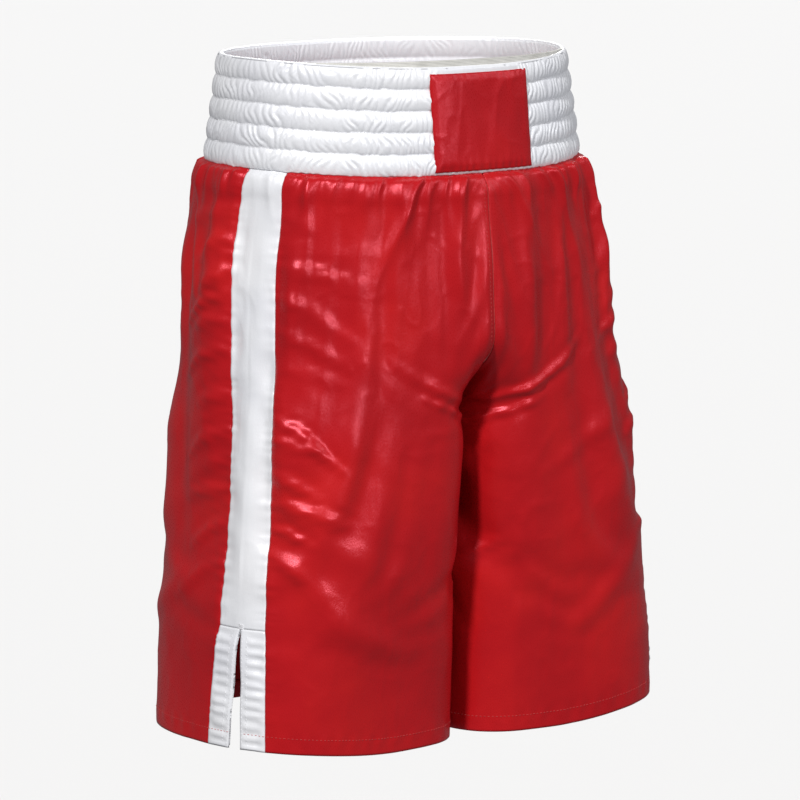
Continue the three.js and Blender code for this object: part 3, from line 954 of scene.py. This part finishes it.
def stitches(name, path, normal, material, length=2.5, gap=1.2, radius=0.24):
    """A row of stitches along a path of points, each one bowed, with its two ends sunk in the cloth."""
    path, normal = np.asarray(path), np.asarray(normal)
    step = np.linalg.norm(np.diff(path, axis=0), axis=1)
    run = np.concatenate([[0], np.cumsum(step)])
    starts = np.arange(0.5 * MM, run[-1] - length * MM, (length + gap) * MM)
    count = len(starts)
    if count == 0:
        raise ValueError(f"{name}: the path is shorter than one stitch")
    along_it = len(STITCH_BOW)
    stations = starts[:, None] + np.linspace(0, length * MM, along_it)[None, :]
    pick = lambda values: np.stack([np.interp(stations, run, values[:, k]) for k in range(3)], -1)
    centre, up = pick(path), pick(normal)
    up /= np.linalg.norm(up, axis=-1, keepdims=True)
    along = np.gradient(centre, axis=1)
    along /= np.linalg.norm(along, axis=-1, keepdims=True)
    side = np.cross(along, up)
    bow = STITCH_BOW[None, :, None] * MM
    thick = STITCH_THICKNESS[None, :, None, None] * radius * MM
    turn = np.linspace(0, 2 * math.pi, THREAD_SIDES, endpoint=False)[None, None, :, None]
    ring = np.cos(turn) * side[:, :, None] + np.sin(turn) * up[:, :, None]
    points = (centre + up * bow)[:, :, None] + ring * thick
    sides, each = THREAD_SIDES, along_it * THREAD_SIDES
    k, r, c = np.meshgrid(np.arange(count), np.arange(along_it - 1), np.arange(sides), indexing="ij")
    a = k * each + r * sides + c
    b = k * each + r * sides + (c + 1) % sides
    tube = np.stack([a, b, b + sides, a + sides], -1).reshape(-1, 4).tolist()
    caps = [list(range(first, first + sides))[::-1] for first in range(0, count * each, each)]
    caps += [list(range(last - sides, last)) for last in range(each, count * each + 1, each)]
    return add_mesh(name, points.reshape(-1, 3), tube + caps, material)


def band_stitches(row):
    angle = np.linspace(STITCHES_FROM, 2 * math.pi - STITCHES_FROM, 1500)
    z = np.full_like(angle, -row * ROW_PITCH)
    s = band_arc(angle)
    wobble = 0.6 * MM * lattice_noise(s / 0.008, row, 31)
    out = -1.25 * MM + 0.45 * ruching(s, z / -ROW_PITCH, 32)
    path = band_point(angle, z + wobble, out)
    up = path * [1, 1, 0]
    return stitches(f"waistband_stitches_{row}", path, up, WHITE_THREAD,
                    length=2.4, gap=0.9, radius=0.26)


# Placing

FACING_DEPTH = 1.2 * MM
HEM_DEPTH = 1.1 * MM
UNDER_CLOTH = 0.4 * MM
TOPSTITCHING = (1.8 * MM, 6.5 * MM)
BARTACK_HALF = 5.5 * MM
BARTACK_LINES = 6
INSEAM_THICKNESS = 1.1 * MM
INSEAM_WIDTH = 7.5 * MM
RISE_SEAM_THICKNESS = 3.4 * MM
RISE_SEAM_WIDTH = 9 * MM
WAIST_SEAM_THICKNESS = 0.8 * MM


def describe(nodes):
    if nodes:
        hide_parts(*nodes)


def place(piece, body, slot, nodes=()):
    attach(piece, body)
    describe(nodes)


def place_leg(piece, nodes):
    """A piece that runs from the hips to the leg."""
    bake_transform(piece)
    describe(nodes)


def place_tab(piece, nodes=()):
    """A piece on a vent tab, with its placing baked into its points."""
    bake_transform(piece)
    describe(nodes)


def ribbon_between(name, edge, inner, normal, thickness, material):
    """A thin strip between two lines of points."""
    outer = np.stack([edge, inner], 1)
    n = np.stack([normal, normal], 1)
    run = np.concatenate([[0], np.cumsum(np.linalg.norm(np.diff(edge, axis=0), axis=1))])
    width = np.linalg.norm(inner - edge, axis=1)
    uv = np.stack([np.stack([0 * run, width], 1), np.stack([run, run], 1)], -1)
    return shell(name, outer, outer - n * thickness, uv, material)


def columns_in(width):
    """How many columns of the fine grid a width on the stripe takes."""
    return round(width * STRIPE_STEPS * FINE / STRIPE_HALF)


def build_half(word):
    """The panels, stripe, vent, hems and seams of one leg."""
    cloth = half_cloth(word)
    point, normal, _, z = cloth
    front = FRONT_STEPS * FINE
    split = (FRONT_STEPS + STRIPE_STEPS) * FINE
    back = split + 1 + STRIPE_STEPS * FINE
    vent = ROWS_TO_VENT * FINE
    hem_row = np.searchsorted(-z[:, 0], -HEM_STITCH) - 1
    panels = (("front", slice(0, front + 1)), ("back", slice(back, None)))
    tabs = (("front", slice(front, split + 1), split, -1), ("back", slice(split + 1, back + 1), split + 1, 1))

    for end, columns in panels:
        whole = crop(cloth, slice(None), columns)
        panel = cloth_piece(f"{word}_{end}_panel_satin", whole, RED_SATIN, bottom=True)
        place_leg(panel, [f"{word}_{end}_panel_hip", f"{word}_{end}_panel_leg"])

    stripe = [np.delete(grid[:vent + 1, front:back + 1], split + 1 - front, axis=1) for grid in cloth]
    stripe = cloth_piece(f"{word}_side_stripe_satin", stripe, WHITE_SATIN)
    place_leg(stripe, [f"{word}_side_stripe_hip", f"{word}_side_stripe_leg"])

    for end, columns, edge, away in tabs:
        lower = crop(cloth, slice(vent, None), columns)
        tab = cloth_piece(f"{word}_vent_{end}_tab_satin", lower, WHITE_SATIN, bottom=True)
        place_tab(tab, [f"{word}_vent_{end}_tab"])
        inner = edge + columns_in(FACING) * away
        folded = crop(cloth, slice(vent, -1), slice(min(edge, inner), max(edge, inner) + 1))
        facing = cloth_piece(f"{word}_vent_{end}_facing_satin", folded, WHITE_SATIN,
                             depth=FACING_DEPTH, thickness=UNDER_CLOTH)
        place_tab(facing, [f"{word}_vent_{end}_facing"])
        for number, inset in enumerate(TOPSTITCHING, 1):
            column = edge + columns_in(inset) * away
            line = stitches(f"{word}_vent_{end}_stitches_{number}", point[vent + 3:-1, column],
                            normal[vent + 3:-1, column], WHITE_THREAD)
            place_tab(line)
        line = stitches(f"{word}_vent_{end}_hem_stitches", point[hem_row, columns],
                        normal[hem_row, columns], RED_THREAD)
        place_tab(line)

    for end, columns in panels:
        turned = crop(cloth, slice(hem_row - 1, None), columns)
        hem = cloth_piece(f"{word}_{end}_hem_satin", turned, RED_SATIN,
                          depth=HEM_DEPTH, thickness=UNDER_CLOTH)
        place(hem, f"{word}_leg", "red_satin", [f"{word}_{end}_hem"])
        line = stitches(f"{word}_{end}_hem_stitches", point[hem_row, columns], normal[hem_row, columns],
                        RED_THREAD)
        place(line, f"{word}_leg", "red_thread")
    inner_seam(word, cloth)
    bartack(word, cloth, vent, split)
    return cloth


def inner_seam(word, cloth):
    """The turned-in seam down the inside of the leg."""
    point, normal, _, z = cloth
    rows = np.flatnonzero((z[:, 0] < CROTCH - 1 * MM) & (z[:, 0] > HEM_STITCH))
    edge = point[rows, 0] - normal[rows, 0] * 1.6 * MM
    wave = 0.6 * MM * np.sin(np.arange(len(rows)) * 0.8)
    edge[:, 1] += wave * 0.5
    inner = edge + np.stack([np.full(len(rows), SIDES[word] * INSEAM_WIDTH), wave, 0 * wave], -1)
    across = np.tile([0.0, 1.0, 0.0], (len(rows), 1))
    seam = ribbon_between(f"{word}_inseam_overlock", edge, inner, across, INSEAM_THICKNESS, RED_THREAD)
    place_leg(seam, [f"{word}_inseam_hip", f"{word}_inseam_leg"])


def bartack(word, cloth, vent, split):
    """Close parallel stitches across the top of the vent."""
    point, normal = cloth[:2]
    half = columns_in(BARTACK_HALF)
    near = slice(split - half, split + 2 + half)
    pieces = []
    for k, share in enumerate(np.linspace(0, 1, BARTACK_LINES)):
        line = point[vent - 2, near] * (1 - share) + point[vent, near] * share
        pieces.append(stitches(f"{word}_bartack_{k}", line, normal[vent, near], WHITE_THREAD,
                               length=8.0, gap=0.5, radius=0.3))
    tack = join(f"{word}_vent_bartack_thread", pieces)
    place(tack, f"{word}_leg", "white_thread", [f"{word}_vent_bartack"])


def join(name, pieces):
    """Several pieces as one object."""
    points, faces, start = [], [], 0
    for piece in pieces:
        mesh = piece.data
        points += [tuple(v.co) for v in mesh.vertices]
        faces += [[start + i for i in p.vertices] for p in mesh.polygons]
        start += len(mesh.vertices)
        material = mesh.materials[0]
        bpy.data.objects.remove(piece)
    return add_mesh(name, points, faces, material)


def rise_seam(end, column, halves):
    """The turned-in seam between the two halves, and the line of stitches beside it."""
    point, normal, _, z = halves["right"]
    rows = np.flatnonzero((z[:, 0] < BAND_FOOT - 8 * MM) & (z[:, 0] > CROTCH + 2 * MM))
    edge = point[rows, column] * [0, 1, 1] - normal[rows, column] * [0, 1, 1] * 0.7 * MM
    edge[:, 0] += RISE_SEAM_THICKNESS / 2
    inner = edge - normal[rows, column] * [0, 1, 1] * RISE_SEAM_WIDTH
    inner[:, 0] += 0.8 * MM * np.sin(np.arange(len(rows)) * 0.9)
    across = np.tile([1.0, 0.0, 0.0], (len(rows), 1))
    seam = ribbon_between(f"{end}_rise_overlock", edge, inner, across, RISE_SEAM_THICKNESS, RED_THREAD)
    place(seam, "seat", "red_thread", [f"{end}_rise_seam"])
    near = 4 if column == 0 else -5
    line = stitches(f"{end}_rise_stitches", point[rows, near], normal[rows, near], RED_THREAD)
    place(line, "seat", "red_thread")


def waist_overlock():
    """The overlocked edge inside, below the waistband."""
    angle = np.linspace(0, 2 * math.pi, 720, endpoint=False)[None, :]
    z = np.linspace(BAND_FOOT + 0.5 * MM, BAND_FOOT - 7 * MM, 7)[:, None]
    wave = 0.5 * MM * np.sin(angle * 300) * np.linspace(0.3, 1, 7)[:, None]
    skin = band_point(angle + 0 * z, z + wave * 0.6, -6.6 * MM + wave)
    normal = -loop_normals(skin)
    uv = np.stack([band_arc(angle) + 0 * z, z + 0 * angle], -1)
    seam = shell("waist_seam_thread", skin, skin - normal * WAIST_SEAM_THICKNESS, uv, WHITE_THREAD,
                 loop=True)
    place(seam, "seat", "white_thread", ["waist_seam_overlock"])


def build_waistband():
    band = waistband_outer()
    place(band, "seat", "white_satin", ["waistband_outer"])
    lining = waistband_lining()
    place(lining, "seat", "white_satin", ["waistband_lining"])
    patch = front_patch()
    place(patch, "seat", "red_satin", ["centre_front_patch"])
    for row in range(1, ROWS):
        place(band_stitches(row), "seat", "white_thread")
    waist_overlock()
    for row in range(1, ROWS + 1):
        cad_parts[f"waist_elastic_{row}"].material_slots[0].material = ELASTIC


# Stage, light and camera

FLOOR_REACH = 60
FLOOR_DROP = 0.45
FLOOR_TONE = 0.74
SKY_STRENGTH = 0.17
CAMERA_AZIMUTH = -37.3
CAMERA_ELEVATION = 8.3
CAMERA_DISTANCE = 4.5
CAMERA_LENS = 223
CAMERA_SHIFT = (0.0085, -0.0202)


def direction(azimuth, elevation):
    """Towards a light or camera: 0 degrees is the wearer's front, and their left is positive."""
    a, e = math.radians(azimuth), math.radians(elevation)
    return Vector((math.sin(a) * math.cos(e), -math.cos(a) * math.cos(e), math.sin(e)))


def sun(name, azimuth, elevation, strength, angle, colour=(1, 1, 1)):
    light = bpy.data.lights.new(name, "SUN")
    light.energy = strength
    light.angle = math.radians(angle)
    light.color = colour
    lamp = bpy.data.objects.new(name, light)
    lamp.rotation_mode = "QUATERNION"
    lamp.rotation_quaternion = direction(azimuth, elevation).to_track_quat("Z", "Y")
    bpy.context.scene.collection.objects.link(lamp)


def build_stage():
    corners = [(x * FLOOR_REACH, y * FLOOR_REACH, 0) for x, y in ((-1, -1), (1, -1), (1, 1), (-1, 1))]
    floor = add_mesh("floor", corners, [(0, 1, 2, 3)], floor_material())
    floor.location.z = HEM - FLOOR_DROP
    floor.visible_diffuse = False
    floor.visible_glossy = False
    floor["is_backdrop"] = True
    world = bpy.data.worlds.new("studio")
    world.use_nodes = True
    set_inputs(world.node_tree.nodes["Background"],
               {"Color": (0.95, 0.96, 1.0, 1), "Strength": SKY_STRENGTH})
    bpy.context.scene.world = world
    bpy.context.scene.view_settings.view_transform = "Standard"
    sun("key", -60, 42, 2.7, 6, (1.0, 0.99, 0.97))
    sun("front", 6, 20, 1.0, 12)
    sun("fill", 50, 30, 0.45, 24, (0.97, 0.98, 1.0))
    sun("back", 140, 32, 1.7, 16)


def floor_material():
    material, _, _, shader = new_material("pale_floor")
    set_inputs(shader, {"Base Color": (FLOOR_TONE, FLOOR_TONE, FLOOR_TONE, 1), "Roughness": 0.9})
    return material


def build_camera():
    back = direction(CAMERA_AZIMUTH, CAMERA_ELEVATION)
    lens = bpy.data.cameras.new("camera")
    lens.lens = CAMERA_LENS
    lens.shift_x, lens.shift_y = CAMERA_SHIFT
    camera = bpy.data.objects.new("camera", lens)
    camera.location = Vector((0, 0, HEM / 2)) + back * CAMERA_DISTANCE
    camera.rotation_mode = "QUATERNION"
    camera.rotation_quaternion = back.to_track_quat("Z", "Y")
    bpy.context.scene.collection.objects.link(camera)
    bpy.context.scene.camera = camera


build_camera()
build_stage()
build_waistband()
halves = {word: build_half(word) for word in SIDES}
rise_seam("front", 0, halves)
rise_seam("back", -1, halves)

visual_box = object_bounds()
sizes = {"cad": [list(corner) for corner in cad_box], "visual": [list(corner) for corner in visual_box]}
